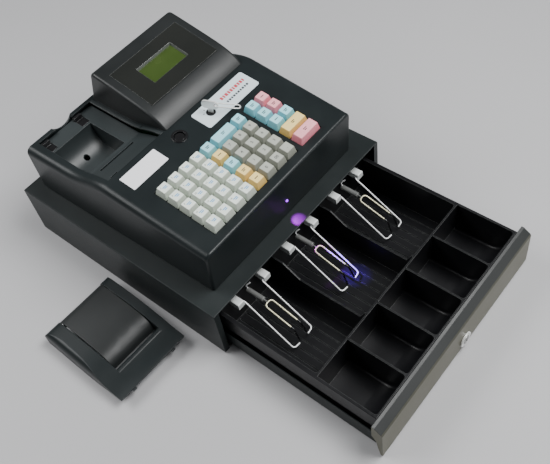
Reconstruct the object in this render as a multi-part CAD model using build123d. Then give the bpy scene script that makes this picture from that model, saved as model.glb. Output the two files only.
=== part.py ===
from build123d import *
import math
import os

# Cash register on a cash drawer. Millimetres, +Z up, +Y to the back, +X to the operator's right.
# The origin is the centre of the cabinet's footprint on the table.
# At rest the drawer stands open and the printer cover lies lifted off beside the cabinet.

# ---- driving dimensions: cabinet and drawer
CABINET_WIDTH = 330.0
CABINET_DEPTH = 350.0
CABINET_TOP = 84.5
FOOT_HEIGHT = 2.0
SHEET = 1.2                      # steel thickness
FRONT_RETURN = 8.0               # folded strip each side of the drawer opening
DRAWER_OPEN = 215.0              # how far the drawer stands out at rest
DRAWER_FLOOR = 4.6               # underside of the steel drawer frame
FRAME_HALF = 152.0               # half width of the steel drawer frame
FRAME_SIDE_TOP = 28.0
PANEL_HALF = 160.0
PANEL_TOP = 62.8
RIM_TOP = 62.8                   # rim of the cash tray
TRAY_HALF = 149.6
TRAY_WALL = 2.2
TRAY_REAR = -158.0
COIN_WALL_Y = -307.7             # wall between coin cups and bill bays
CUP_PITCH = 58.9
CUP_FLOOR = 15.0
SCOOP_RADIUS = 31.0
BILL_WALL_X = 49.1
BILL_FLOOR = 8.6
BILL_WALL_TOP = 48.0
GROOVE_PITCH = 11.1
CLIP_AXIS = (-172.0, 57.0)       # y and z of the bill clip pivots
CLIP_CENTRES = {"left": -98.2, "middle": 0.0, "right": 98.2}
CLIP_HALF = 24.6                 # half the distance between the two clip blocks
ARM_HALF = 17.6                  # half the distance between the two arms of a clip
ARM_TIP = (-246.5, 15.0)         # y and z where the arms turn in
INNER_LEG = 6.0                  # half the width of the inner hairpin
LOCK_CENTRE = (10.0, 18.0)       # x and z of the drawer lock

# ---- driving dimensions: register
CASE_CENTRE_X = -1.4
CASE_FRONT_Y = -151.5
CASE_REAR_Y = 155.0
CASE_HALF_FRONT = 135.9
CASE_HALF_REAR = 142.0
CASE_LEAN = 4.5                  # how far the front wall leans out towards its top
CASE_BOTTOM = 86.3
CASE_WALL = 2.5
SLOPE = 5.7                      # keyboard slope in degrees
SURFACE_Y = -150.0
SURFACE_Z = 155.5                # height of the sloping top where y is SURFACE_Y
RIM_Z = 156.0                    # low rim at the back of the case
BAY_X = (-126.0, -36.0)
BAY_Y = (10.0, 149.0)
LEDGE_Z = 150.0
WELL_X = (-123.2, -59.5)
WELL_Y = 91.0
WELL_RADIUS = 33.0
HOOD_X = (-28.8, 120.0)
HOOD_WALL = 2.4
DISPLAY_SLOPE = 11.6

# ---- driving dimensions: keyboard
KEY_PITCH = 19.05
KEY_COLUMNS = 8
KEY_ROWS = 5
FIRST_KEY_X = -96.55
FRONT_ROW = 17.43                # distance of the front row up the slope from SURFACE_Y
SIDE_COLUMNS = (64.4, 83.4)
CAP_BASE = 17.9
CAP_TOP = 13.4
CAP_RISE = 8.6                   # key top above the case surface
CAP_SKIRT = 1.5                  # key skirt below the case surface
STEM = 5.0
BOARD_TOP = -6.5                 # keyboard plate below the case surface
WIDE = CAP_BASE + KEY_PITCH      # cap of a key two places wide
DIGITS = {                       # column and row of each number key
    "key_7": (5, 3), "key_8": (6, 3), "key_9": (7, 3),
    "key_4": (5, 2), "key_5": (6, 2), "key_6": (7, 2),
    "key_1": (5, 1), "key_2": (6, 1), "key_3": (7, 1),
    "key_0": (5, 0), "key_00": (6, 0), "key_point": (7, 0),
}
FUNCTION_CELLS = ((4, 0), (4, 1), (4, 2), (4, 3), (4, 4), (7, 4))

# ---- driving dimensions: printer cover, lying on the table
COVER_CORNER = (-291.0, -122.0)  # left front corner
COVER_TURN = -1.2
COVER_WIDTH = 109.0
COVER_DEPTH = 145.0
COVER_LEFT_RAIL = 25.0
COVER_RIGHT_RAIL = 14.0
COVER_HEIGHT = 27.0
LID_GAP = 1.2
EXIT_BAR = (30.5, 14.0)          # y and z of the round bar in front of the paper exit
EXIT_BAR_RADIUS = 5.5
LID_HINGE = (134.0, 19.0)        # y and z of the lid's pins in the cover

# ---- driving dimensions: small parts of the register
LAMP_X = 3.0
LAMP_Z = 112.0
JACK_X = 92.0
JACK_Z = 108.0
KEY_TURN = 114.0                 # how far the mode key is turned
RING_LENGTH = 32.0
RING_WIDTH = 8.0
RING_TURN = 16.0                 # how far the loop swings off the line of the bow
RING_DROP = 10.0                 # how far the loop hangs down
PANEL_SIZE = (123.0, 75.0)       # display panel
PANEL_CENTRE = (46.0, 73.3, 197.2)
WINDOW_CENTRE = (46.0, 142.9, 178.0)
REAR_LEAN = 71.9                 # slope of the hood's back wall in degrees
POCKETS = ((-125.3, -113.5), (-70.0, -57.0))   # x ranges of the printer cover's latch pockets
POCKET_Y = (127.4, 146.6)
ROLLER = (46.6, 143.4)           # y and z of the platen roller

DRAWER_BACK = -CABINET_DEPTH / 2 - DRAWER_OPEN          # back plane of the drawer front
SURFACE = Location((0, SURFACE_Y, SURFACE_Z), (SLOPE, 0, 0))
COVER_PLACE = Location((*COVER_CORNER, 0), (0, 0, COVER_TURN))
DISPLAY = Location(PANEL_CENTRE, (DISPLAY_SLOPE, 0, 0))
WINDOW = Location(WINDOW_CENTRE, (-REAR_LEAN, 0, 0))


def block(x, y, z):
    """Box from pairs of low and high corners."""
    centre = Pos((x[0] + x[1]) / 2, (y[0] + y[1]) / 2, (z[0] + z[1]) / 2)
    return centre * Box(x[1] - x[0], y[1] - y[0], z[1] - z[0])


def prism(outline, x):
    """Extrude a closed (y, z) outline along X between the two x values."""
    face = make_face(Polyline(*outline, close=True))
    return extrude(Plane.YZ.offset(x[0]) * face, x[1] - x[0])


def curved_prism(curve, corners, x):
    """Extrude along X the (y, z) shape of a smooth curve closed by straight lines."""
    outline = Spline(*curve) + Polyline(curve[-1], *corners, curve[0])
    return extrude(Plane.YZ.offset(x[0]) * make_face(outline), x[1] - x[0])


def upright(radius, height, x, y, z):
    """Cylinder standing on z."""
    return Pos(x, y, z + height / 2) * Cylinder(radius, height)


def along_x(radius, x, y, z):
    """Cylinder along X between two x values."""
    return Pos((x[0] + x[1]) / 2, y, z) * Rot(0, 90, 0) * Cylinder(radius, x[1] - x[0])


def along_y(radius, x, y, z):
    """Cylinder along Y between two y values."""
    return Pos(x, (y[0] + y[1]) / 2, z) * Rot(90, 0, 0) * Cylinder(radius, y[1] - y[0])


def wire(points, radius, bend):
    """Round wire through the points, with bends of one radius."""
    line = FilletPolyline(*points, radius=bend)
    return sweep(Plane(line @ 0, z_dir=line % 0) * Circle(radius), path=line)


def surface_z(y):
    """Height of the sloping top surface."""
    return SURFACE_Z + (y - SURFACE_Y) * math.tan(math.radians(SLOPE))


def edges_near(shape, axis, value, tolerance=0.6):
    """Edges whose centre lies near a value along an axis, 0 for X, 1 for Y and 2 for Z."""
    return [e for e in shape.edges() if abs(tuple(e.center())[axis] - value) < tolerance]


# ---------------------------------------------------------------- cabinet

def cabinet_shell():
    """Folded steel top, sides and back, with a return strip each side of the front opening."""
    half = CABINET_WIDTH / 2
    front = -CABINET_DEPTH / 2
    back = CABINET_DEPTH / 2
    outer = block((-half, half), (front, back), (FOOT_HEIGHT, CABINET_TOP))
    outer = fillet(edges_near(outer, 2, CABINET_TOP, 0.1), 1.0)
    inner = block((-half + SHEET, half - SHEET), (front - 1, back - SHEET), (0, CABINET_TOP - SHEET))
    shell = outer - inner
    for side in (-1, 1):
        strip = sorted((side * (half - FRONT_RETURN), side * (half - SHEET / 2)))
        shell += block(strip, (front, front + SHEET), (FOOT_HEIGHT, CABINET_TOP - SHEET / 2))
    return shell - block((100, 122), (back - 3, back + 1), (20, 32))


def cabinet_base():
    """Base pan between the cabinet sides, with turned-up edges for the slide rails."""
    half = CABINET_WIDTH / 2 - SHEET - 0.1
    front = -CABINET_DEPTH / 2
    back = CABINET_DEPTH / 2 - SHEET - 0.1
    pan = block((-half, half), (front + SHEET + 0.1, back), (FOOT_HEIGHT, FOOT_HEIGHT + SHEET))
    pan += block((8 - half, half - 8), (front, front + 2), (FOOT_HEIGHT, FOOT_HEIGHT + SHEET))
    for side in (-1, 1):
        edge = sorted((side * half, side * (half - SHEET)))
        pan += block(edge, (front + 3, back), (FOOT_HEIGHT, 14))
    return pan


def rubber_feet():
    """Four flat rubber feet under the base pan."""
    feet = []
    for x in (-140, 140):
        for y in (-150, 150):
            feet.append(upright(9, FOOT_HEIGHT, x, y, 0))
    return Compound(feet)


def slide_rails():
    """Two fixed channel rails that the drawer's rollers run in."""
    rails = []
    half = CABINET_WIDTH / 2 - SHEET - 0.1
    for side in (-1, 1):
        web = sorted((side * half, side * (half - SHEET)))
        flange = sorted((side * half, side * (half - 7.5)))
        rail = block(web, (-165, 160), (14.6, 30.6))
        rail += block(flange, (-165, 160), (14.6, 14.6 + SHEET))
        rail += block(flange, (-165, 160), (30.6 - SHEET, 30.6))
        rails.append(rail)
    return Compound(rails)


def drawer_latch():
    """Solenoid release with its bracket, at the back of the cabinet."""
    body = block((-22, 22), (120, 158), (12, 44))
    bracket = block((-34, 34), (112, 164), (FOOT_HEIGHT + SHEET, 12))
    lever = block((-6, 6), (96, 120), (27, 31)) + block((-6, 6), (96, 99), (24.6, 27))
    return body + bracket + lever


# ---------------------------------------------------------------- drawer

def drawer_frame():
    """Shallow steel pan under the tray, with arms that run back inside the rails."""
    y = (DRAWER_BACK - 6.0, TRAY_REAR + 2.0)
    pan = block((-FRAME_HALF, FRAME_HALF), y, (DRAWER_FLOOR, FRAME_SIDE_TOP))
    inside = (-FRAME_HALF + SHEET, FRAME_HALF - SHEET)
    pan -= block(inside, (y[0] + SHEET, y[1] - SHEET), (DRAWER_FLOOR + SHEET, FRAME_SIDE_TOP + 1))
    for side in (-1, 1):
        arm = sorted((side * FRAME_HALF, side * (FRAME_HALF - SHEET)))
        pan += block(arm, (y[1] - 1, -60), (DRAWER_FLOOR, FRAME_SIDE_TOP))
        axle = sorted((side * (FRAME_HALF - 1), side * (FRAME_HALF + 2.3)))
        for roller_y in (-140, -80):
            pan += along_x(2.0, axle, roller_y, 22.6)
    catch = block((-10, 10), (y[1] - 1, -106), (18, 19.5)) + block((-10, 10), (-107.5, -106), (18, 24))
    return pan + catch


def slide_rollers():
    """Four nylon rollers on the drawer's arms, inside the fixed rails."""
    rollers = []
    for side in (-1, 1):
        span = sorted((side * (FRAME_HALF + 2.3), side * (FRAME_HALF + 8.0)))
        for y in (-140, -80):
            rollers.append(along_x(6.5, span, y, 22.6))
    return Compound(rollers)


def drawer_front():
    """Drawer front with a sloping top, an upright face and a thin flared lower lip."""
    back = DRAWER_BACK
    top = [(back, PANEL_TOP), (back - 3.5, PANEL_TOP - 0.6), (back - 12.6, 56.6)]
    face = [(back - 14.0, 54.0), (back - 14.6, 3.2), (back - 13.4, 2.4), (back - 11.6, 2.8)]
    hollow = [(back - 9.0, 14.0), (back - 7.2, 24.0), (back - 6.3, 31.0), (back, 40.0)]
    panel = prism(top + face + hollow, (-PANEL_HALF, PANEL_HALF))
    x, z = LOCK_CENTRE
    return panel - along_y(8.2, x, (back - 20, back + 1), z)


def lock_barrel():
    """Drawer lock housing: a stepped tube through the drawer front."""
    x, z = LOCK_CENTRE
    face = DRAWER_BACK - 14.7
    tube = along_y(8.0, x, (face - 0.1, DRAWER_BACK - 6.5), z)
    flange = along_y(10.4, x, (face - 1.9, face), z)
    return tube + flange - along_y(6.1, x, (face - 3, DRAWER_BACK), z)


def lock_core():
    """Turning core with a key slot in front."""
    x, z = LOCK_CENTRE
    face = DRAWER_BACK - 14.7
    core = along_y(6.0, x, (face - 2.3, DRAWER_BACK - 7.2), z)
    slot = block((x - 0.9, x + 0.9), (face - 4, face + 3), (z - 4.2, z + 4.2))
    return core - slot


def bill_wall_outline():
    """Side view of a bill divider: high at both ends and lower along the bay."""
    low = BILL_FLOOR - 1
    back = TRAY_REAR - TRAY_WALL
    ends = [(COIN_WALL_Y, low), (COIN_WALL_Y, RIM_TOP), (COIN_WALL_Y + 3, RIM_TOP)]
    dip = [(COIN_WALL_Y + 10, BILL_WALL_TOP), (-207, BILL_WALL_TOP), (-182, RIM_TOP)]
    return ends + dip + [(back, RIM_TOP), (back, low)]


def cash_tray():
    """Moulded tray with five scooped coin cups in front and three bill bays behind."""
    front = DRAWER_BACK + 0.3
    skirt = TRAY_HALF - 3.2
    tray = block((-TRAY_HALF, TRAY_HALF), (front, TRAY_REAR), (38, RIM_TOP))
    tray += block((-skirt, skirt), (front, TRAY_REAR), (6.2, 38.5))
    tray = fillet(edges_near(tray, 2, RIM_TOP, 0.1), 0.8)

    left = -2.5 * CUP_PITCH
    for i in range(5):
        x = (left + i * CUP_PITCH + TRAY_WALL / 2, left + (i + 1) * CUP_PITCH - TRAY_WALL / 2)
        y = (front + TRAY_WALL, COIN_WALL_Y - TRAY_WALL / 2)
        scoop_y = y[0] + SCOOP_RADIUS
        scoop_z = CUP_FLOOR + SCOOP_RADIUS
        cup = block(x, y, (scoop_z, RIM_TOP + 1))
        cup += block(x, (scoop_y, y[1]), (CUP_FLOOR, scoop_z + 1))
        cup += along_x(SCOOP_RADIUS, x, scoop_y, scoop_z)
        corners = [e for e in cup.edges() if abs(e.center().Z - (scoop_z + RIM_TOP + 1) / 2) < 1]
        tray -= fillet(corners, 4.0)
        tray -= block((x[0] + 2, x[1] - 2), (scoop_y, y[1] - 2), (6, CUP_FLOOR - TRAY_WALL))

    bay = (COIN_WALL_Y + TRAY_WALL / 2, TRAY_REAR - TRAY_WALL)
    skirt_inside = skirt - TRAY_WALL
    hollow = block((-skirt_inside, skirt_inside), bay, (BILL_FLOOR, RIM_TOP + 1))
    tray -= fillet([e for e in hollow.edges() if abs(e.center().Z - (BILL_FLOOR + RIM_TOP + 1) / 2) < 1], 4.0)
    for x in (-BILL_WALL_X, BILL_WALL_X):
        tray += prism(bill_wall_outline(), (x - 1.0, x + 1.0))
    for centre in CLIP_CENTRES.values():
        for i in range(-3, 4):
            x = centre + i * GROOVE_PITCH
            tray -= block((x - 0.8, x + 0.8), (bay[0] + 2, bay[1] - 2), (BILL_FLOOR - 1.1, BILL_FLOOR + 1))
    return tray


def clip_blocks():
    """Six die-cast pivot blocks, two for each bill clip, on arms from the tray's rear wall."""
    y, z = CLIP_AXIS
    blocks = []
    for centre in CLIP_CENTRES.values():
        for side in (-1, 1):
            x = centre + side * CLIP_HALF
            piece = block((x - 5.2, x + 5.2), (y - 4.6, TRAY_REAR - TRAY_WALL), (z - 4.0, z + 5.2))
            piece = fillet(edges_near(piece, 2, z + 5.2, 0.1), 1.4)
            blocks.append(piece - along_x(1.75, (x - 6, x + 6), y, z))
    return Compound(blocks)


def bill_bail(centre):
    """Bright outer wire of a bill clip: two arms with pivots turned out and hooks turned in."""
    y, z = CLIP_AXIS
    tip_y, tip_z = ARM_TIP
    arms = []
    for side in (-1, 1):
        points = [
            (centre + side * (CLIP_HALF + 4.4), y, z),
            (centre + side * ARM_HALF, y, z),
            (centre + side * (ARM_HALF + 0.4), tip_y, tip_z),
            (centre + side * 8.0, tip_y - 1.0, tip_z + 0.4),
        ]
        arms.append(wire(points, 1.2, 3.0))
    return Compound(arms)


def bill_spring(centre):
    """Inner part of a bill clip: spring sleeve, hairpin wire and two bent feet."""
    sleeve = along_y(3.5, centre, (-190, -163), 50.5)
    sleeve += along_y(1.1, centre, (-196.8, -189), 50.5)
    sleeve += wire([(centre, -165.5, 51.5), (centre, -162.0, 58.0), (centre + 5.0, -165.5, 61.0)], 0.9, 2.0)
    legs = [
        (centre - INNER_LEG, -236.5, 38),
        (centre - INNER_LEG, -196, 50.5),
        (centre + INNER_LEG, -196, 50.5),
        (centre + INNER_LEG, -236.5, 38),
    ]
    spring = sleeve + wire(legs, 1.1, 5.6)
    for side in (-1, 1):
        x = centre + side * INNER_LEG
        foot = [(x, -235.5, 38.3), (x, -240.5, 36), (x + side * 1.2, -247.0, 19.2)]
        spring += wire(foot, 1.4, 3.0)
    return spring


# ---------------------------------------------------------------- register case

def case_block(inset, bottom):
    """The register case as a solid, shrunk by inset on every face except the bottom."""
    front = CASE_FRONT_Y + inset
    rear = CASE_REAR_Y - inset
    half_front = CASE_HALF_FRONT - inset
    half_rear = CASE_HALF_REAR - inset
    centre = CASE_CENTRE_X
    plan = Polyline(
        (centre - half_front, front - 10),
        (centre + half_front, front - 10),
        (centre + half_rear, rear),
        (centre - half_rear, rear),
        close=True,
    )
    tower = extrude(Pos(0, 0, bottom) * make_face(plan), 120)
    crest_y = 2.0
    crest_z = surface_z(crest_y) - inset
    front_top = front - CASE_LEAN
    walls = Polyline(
        (rear, RIM_Z - inset),
        (rear, bottom),
        (front, bottom),
        (front_top, surface_z(front_top) - inset),
        (crest_y, crest_z),
    )
    drop = Spline(
        (crest_y, crest_z),
        (38.5, 164.3 - inset),
        (80, RIM_Z - inset),
        tangents=((1, math.tan(math.radians(SLOPE))), (1, 0)),
    )
    rim = Line((80, RIM_Z - inset), (rear, RIM_Z - inset))
    outline = make_face(walls + drop + rim)
    profile = extrude(Plane.YZ.offset(-160) * outline, 320)
    return tower & profile


def rounded_case(inset, bottom):
    """Case block with rounded sides and a tighter front edge."""
    case = case_block(inset, bottom)
    top_sides = []
    for e in case.edges():
        c = e.center()
        long_side = abs(abs(c.X - CASE_CENTRE_X) - 138) < 6 and c.Z > 150
        if long_side and e.length > 20:
            top_sides.append(e)
    case = fillet(top_sides, 9.0 - inset)
    front = [e for e in case.edges() if e.center().Y < -150 and e.center().Z > 148 and e.length > 200]
    return fillet(front, 3.4)


def key_windows():
    """Space through the case top for the main key block and the side key block."""
    low = FRONT_ROW - KEY_PITCH / 2 - 0.4
    high = FRONT_ROW + (KEY_ROWS - 0.5) * KEY_PITCH + 0.4
    first = FIRST_KEY_X - KEY_PITCH / 2 - 0.4
    last = FIRST_KEY_X + (KEY_COLUMNS - 0.5) * KEY_PITCH + 0.4
    side = (SIDE_COLUMNS[0] - KEY_PITCH / 2 - 0.4, SIDE_COLUMNS[1] + KEY_PITCH / 2 + 0.4)
    windows = block((first, last), (low, high), (-5, 5)) + block(side, (low, high), (-5, 5))
    return SURFACE * windows


def on_surface(x, y):
    """Place on the sloping top above a point given in plan."""
    return SURFACE * Pos(x, (y - SURFACE_Y) / math.cos(math.radians(SLOPE)), 0)


BUTTON_PLACE = on_surface(-24.0, -12.2)
MODE_PLACE = on_surface(29.3, -17.3)
LABEL_PLACE = on_surface(-87.5, -13.0)
PLATE_PLACE = on_surface(56.8, -17.8)


def upper_case(solid):
    """Upper case shell with its key windows, printer bay and lock and button holes."""
    case = solid - rounded_case(CASE_WALL, CASE_BOTTOM - 1)
    case -= key_windows()
    case -= BUTTON_PLACE * Cylinder(9.2, 12)
    case -= MODE_PLACE * Cylinder(6.4, 12)
    case -= block(BAY_X, BAY_Y, (120, 200))
    case -= block((HOOD_X[0] + 12, HOOD_X[1] - 12), (24, 140), (150, 200))
    scoop = Pos(-82.5, CASE_REAR_Y, RIM_Z + 13) * Rot(90, 0, 0) * Cylinder(21, 14)
    case -= scoop
    case -= along_y(1.9, LAMP_X, (-160, -148), LAMP_Z)
    case -= block((JACK_X - 7.2, JACK_X + 7.2), (150, 160), (JACK_Z - 5.7, JACK_Z + 5.7))
    return case


def lower_case():
    """Bottom plate of the register, set in a little, with posts for the main board."""
    inset = CASE_WALL + 0.9
    plate = case_block(inset, CABINET_TOP) & block((-200, 200), (-200, 200), (CABINET_TOP, CABINET_TOP + 3))
    plate += case_block(inset, CABINET_TOP) & block((-200, 200), (-200, 200), (87, 92))
    plate -= case_block(inset + 2, 80) & block((-200, 200), (-200, 200), (CABINET_TOP + 2.5, 93))
    for x in (-100, 80):
        for y in (-40, 110):
            plate += upright(3.5, 96 - CABINET_TOP - 1, x, y, CABINET_TOP + 1)
    return plate


def main_board():
    """Main circuit board with its larger parts."""
    board = block((-112, 92), (-52, 122), (96, 97.6))
    board += block((-60, -36), (-20, 4), (97, 100.5)) + block((0, 30), (20, 50), (97, 103))
    board += upright(6, 14, 60, 90, 97) + upright(6, 14, 60, 70, 97)
    return board + block((-100, -92), (-30, 20), (97, 106))


def keyboard_board():
    """Plate under the keys with a square guide hole for each stem, hung on short legs."""
    low = FRONT_ROW - KEY_PITCH / 2 - 3
    high = FRONT_ROW + (KEY_ROWS - 0.5) * KEY_PITCH + 3
    plate = block((-112, 100), (low, high), (BOARD_TOP - 2.5, BOARD_TOP))
    for x, row, _ in stem_places():
        hole = Box(STEM + 1.2, STEM + 1.2, 10)
        plate -= Pos(x, row, BOARD_TOP) * hole
    for x in (-109.5, 50.6, 97.5):
        for y in (low + 3, high - 3):
            plate += upright(1.8, -BOARD_TOP - CASE_WALL, x, y, BOARD_TOP)
    return SURFACE * plate


def button_ring():
    """Round ring of the paper feed button."""
    ring = Cylinder(10.6, 1.0, align=(Align.CENTER, Align.CENTER, Align.MIN))
    ring += Cylinder(9.0, 9.0, align=(Align.CENTER, Align.CENTER, Align.MAX))
    ring = fillet(ring.edges().group_by(Axis.Z)[-1], 0.6)
    return BUTTON_PLACE * (ring - Cylinder(7.5, 30))


def push_button():
    """Round push button, a little below its ring."""
    button = Pos(0, 0, -10.8) * Cylinder(7.1, 10.4, align=(Align.CENTER, Align.CENTER, Align.MIN))
    return BUTTON_PLACE * fillet(button.edges().group_by(Axis.Z)[-1], 1.2)


def blank_label():
    """Plain label on the case in front of the printer bay."""
    return LABEL_PLACE * extrude(RectangleRounded(59, 26, 0.8), 0.4)


def lock_plate():
    """Light plate round the mode lock."""
    plate = extrude(RectangleRounded(96.5, 33.5, 3.0), 0.8)
    return PLATE_PLACE * plate - MODE_PLACE * Cylinder(6.4, 12)


def mode_lock_barrel():
    """Fixed tube of the mode lock."""
    tube = Cylinder(6.1, 21.5, align=(Align.CENTER, Align.CENTER, Align.MAX))
    tube = Pos(0, 0, 1.5) * tube
    return MODE_PLACE * (tube - Cylinder(4.75, 60))


def mode_lock_plug():
    """Turning plug of the mode lock with a slot for the key."""
    plug = Pos(0, 0, 1.3) * Cylinder(4.65, 19, align=(Align.CENTER, Align.CENTER, Align.MAX))
    return MODE_PLACE * Rot(0, 0, KEY_TURN) * (plug - block((-4.0, 4.0), (-1.1, 1.1), (-12, 2)))


def mode_key():
    """Flat key standing in the mode lock: blade, shoulder and pierced bow."""
    blade = block((-3.4, 3.4), (-0.9, 0.9), (-11, 9))
    bow = Pos(0, 0, 14.5) * Rot(90, 0, 0) * extrude(RectangleRounded(22, 13, 5.5), 0.9, both=True)
    hole = Pos(-7.0, 0, 15.5) * Rot(90, 0, 0) * Cylinder(2.4, 4)
    return MODE_PLACE * Rot(0, 0, KEY_TURN) * (blade + bow - hole)


def key_ring():
    """Long wire loop through the key's bow, leaning over towards the keys."""
    loop = SlotOverall(RING_LENGTH, RING_WIDTH).face().outer_wire()
    lean = Rot(0, 0, RING_TURN) * Rot(0, -RING_DROP, 0) * Rot(12, 0, 0)
    hung = Pos(-7.0, 0, 15.5) * lean * Pos(RING_WIDTH / 2 - RING_LENGTH / 2 - 3.6, 0, 0)
    path = MODE_PLACE * Rot(0, 0, KEY_TURN) * hung * loop
    return sweep(Plane(path @ 0, z_dir=path % 0) * Circle(0.8), path=path)


# ---------------------------------------------------------------- display hood

def hood_solid(inset):
    """The hood as a solid: one arched top over its front apron, shrunk by inset."""
    x = (HOOD_X[0] + inset, HOOD_X[1] - inset)
    front = (7.6 + inset * 1.4, surface_z(7.6) - inset * 0.4)
    arch = [(22, 182.6), (41, 190.0), (62, 194.9), (82, 199.0), (103, 203.2), (126, 207.4)]
    top = [front] + [(y + inset * 0.3, z - inset) for y, z in arch]
    rear = [(133.0 - inset, 207.8 - inset), (152.0 - inset, 150), (front[0], 150)]
    return curved_prism(top, rear, x)


def display_hood(case_solid):
    """Display hood shell, resting on the case."""
    outer = hood_solid(0)
    brow = [e for e in outer.edges() if e.center().Y > 130 and e.center().Z > 205 and e.length > 100]
    outer = fillet(brow, 9.0)
    rounded = [e for e in outer.edges() if abs(e.center().X - 45.6) > 70 and e.center().Z > 172]
    outer = fillet(rounded, 4.0)
    inner = hood_solid(HOOD_WALL)
    hood = outer - inner - case_solid
    hood -= DISPLAY * Box(PANEL_SIZE[0] - 6, PANEL_SIZE[1] - 6, 20)
    hood -= DISPLAY * Pos(0, 0, 5 - 1.4) * Box(PANEL_SIZE[0] + 0.3, PANEL_SIZE[1] + 0.3, 10)
    hood -= WINDOW * Box(82, 18, 20)
    hood -= WINDOW * Pos(0, 0, 5 - 1.2) * Box(90.3, 26.3, 10)
    return hood


def display_panel():
    """Dark glossy panel with a window for the display."""
    panel = Pos(0, 0, -1.4) * extrude(RectangleRounded(*PANEL_SIZE, 1.0), 1.6)
    return DISPLAY * (panel - Pos(-1.0, 2.0, 0) * Box(63, 33, 10))


def lcd_module():
    """Operator display: glass on a small board."""
    glass = Pos(-1.0, 2.0, -4.6) * Box(66, 36, 2.4)
    board = Pos(-1.0, 2.0, -6.6) * Box(84, 48, 1.6)
    return DISPLAY * (glass + board)


def customer_window():
    """Window for the customer's display in the back of the hood."""
    return WINDOW * Pos(0, 0, -1.2) * extrude(RectangleRounded(90, 26, 0.8), 1.2)


# ---------------------------------------------------------------- printer bay

def printer_bay():
    """Bay liner: sloping front plate with the paper slot, ledges and the round paper well."""
    x = (BAY_X[0] + 0.2, BAY_X[1] - 0.2)
    y = (BAY_Y[0] + 0.2, BAY_Y[1] - 0.2)
    thick = 2.5
    top = [(y[0], 166.5), (54, LEDGE_Z), (y[1], LEDGE_Z)]
    under = [(y[1], LEDGE_Z - thick), (54, LEDGE_Z - thick), (y[0], 166.5 - thick)]
    bay = prism(top + under, x)
    outer = along_x(WELL_RADIUS + thick, (WELL_X[0] - thick, WELL_X[1] + thick), WELL_Y, LEDGE_Z)
    bay += outer & block((-200, 0), (0, 200), (100, LEDGE_Z))
    bay -= along_x(WELL_RADIUS, WELL_X, WELL_Y, LEDGE_Z)
    bay -= upright(4.0, 40, -92, 108, 110)
    bay -= block((-112, -54.5), (44.6, 48.6), (140, 160))
    bay -= block((-118, -107), (16, 18.4), (150, 175))
    for pocket in POCKETS:
        bay -= block(pocket, POCKET_Y, (140, 160))
    return bay


def latch_clips():
    """Two sprung catches for the printer cover, one in each rear pocket."""
    clips = []
    y = POCKET_Y
    for pocket in POCKETS:
        span = (pocket[0] + 0.5, pocket[1] - 0.5)
        top = [(y[0] + 0.5, 146.0), (y[0] + 2, 148.4), (y[1] - 6, 149.6)]
        top += [(y[1] - 4, 155.0), (y[1] - 0.6, 155.0)]
        under = [(y[1] - 0.6, 134.0), (y[1] - 4, 134.0), (y[1] - 4, 144.5)]
        clips.append(prism(top + under, span))
    return Compound(clips)


def print_mechanism():
    """Print head block with side cheeks that carry the platen roller."""
    y, z = ROLLER
    block_back = block((-108, -58), (20, 38), (122, 145))
    frame = block((-118, -48), (20, 54), (118, 122))
    for x in ((-118, -115), (-51, -48)):
        frame += block(x, (24, 54), (118, 147))
        frame -= along_x(1.6, (x[0] - 1, x[1] + 1), y, z)
    return frame + block_back


def platen_roller():
    """Rubber roller on a steel shaft."""
    y, z = ROLLER
    return along_x(3.6, (-112, -54), y, z) + along_x(1.5, (-119.4, -46.6), y, z)


def indicator_lamp():
    """Small ultraviolet lamp in the front wall, over the drawer."""
    lens = along_y(1.75, LAMP_X, (-154.6, -149), LAMP_Z)
    lens += along_y(2.6, LAMP_X, (-150.3, -149), LAMP_Z)
    return fillet(edges_near(lens, 1, -154.6, 0.1), 1.2)


def power_jack():
    """Round low-voltage power socket in the back wall."""
    body = block((JACK_X - 7, JACK_X + 7), (140, CASE_REAR_Y + 0.6), (JACK_Z - 5.5, JACK_Z + 5.5))
    body -= along_y(3.2, JACK_X, (144, 160), JACK_Z)
    return body + along_y(1.0, JACK_X, (143, 153), JACK_Z)


# ---------------------------------------------------------------- printer cover

def cover_block():
    """The cover's outside: a thin lip in front that rises in a smooth curve to the back."""
    top = [(0, 16.4), (22, 18.4), (46, 23.6), (70, 26.5), (100, COVER_HEIGHT)]
    top += [(130, 26.4), (141, 23.4), (144.8, 17)]
    rest = [(COVER_DEPTH, 0), (68, 0), (48, 3.5), (28, 9.5), (10, 13.8), (0, 14.8)]
    return curved_prism(top, rest, (0, COVER_WIDTH))


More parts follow.
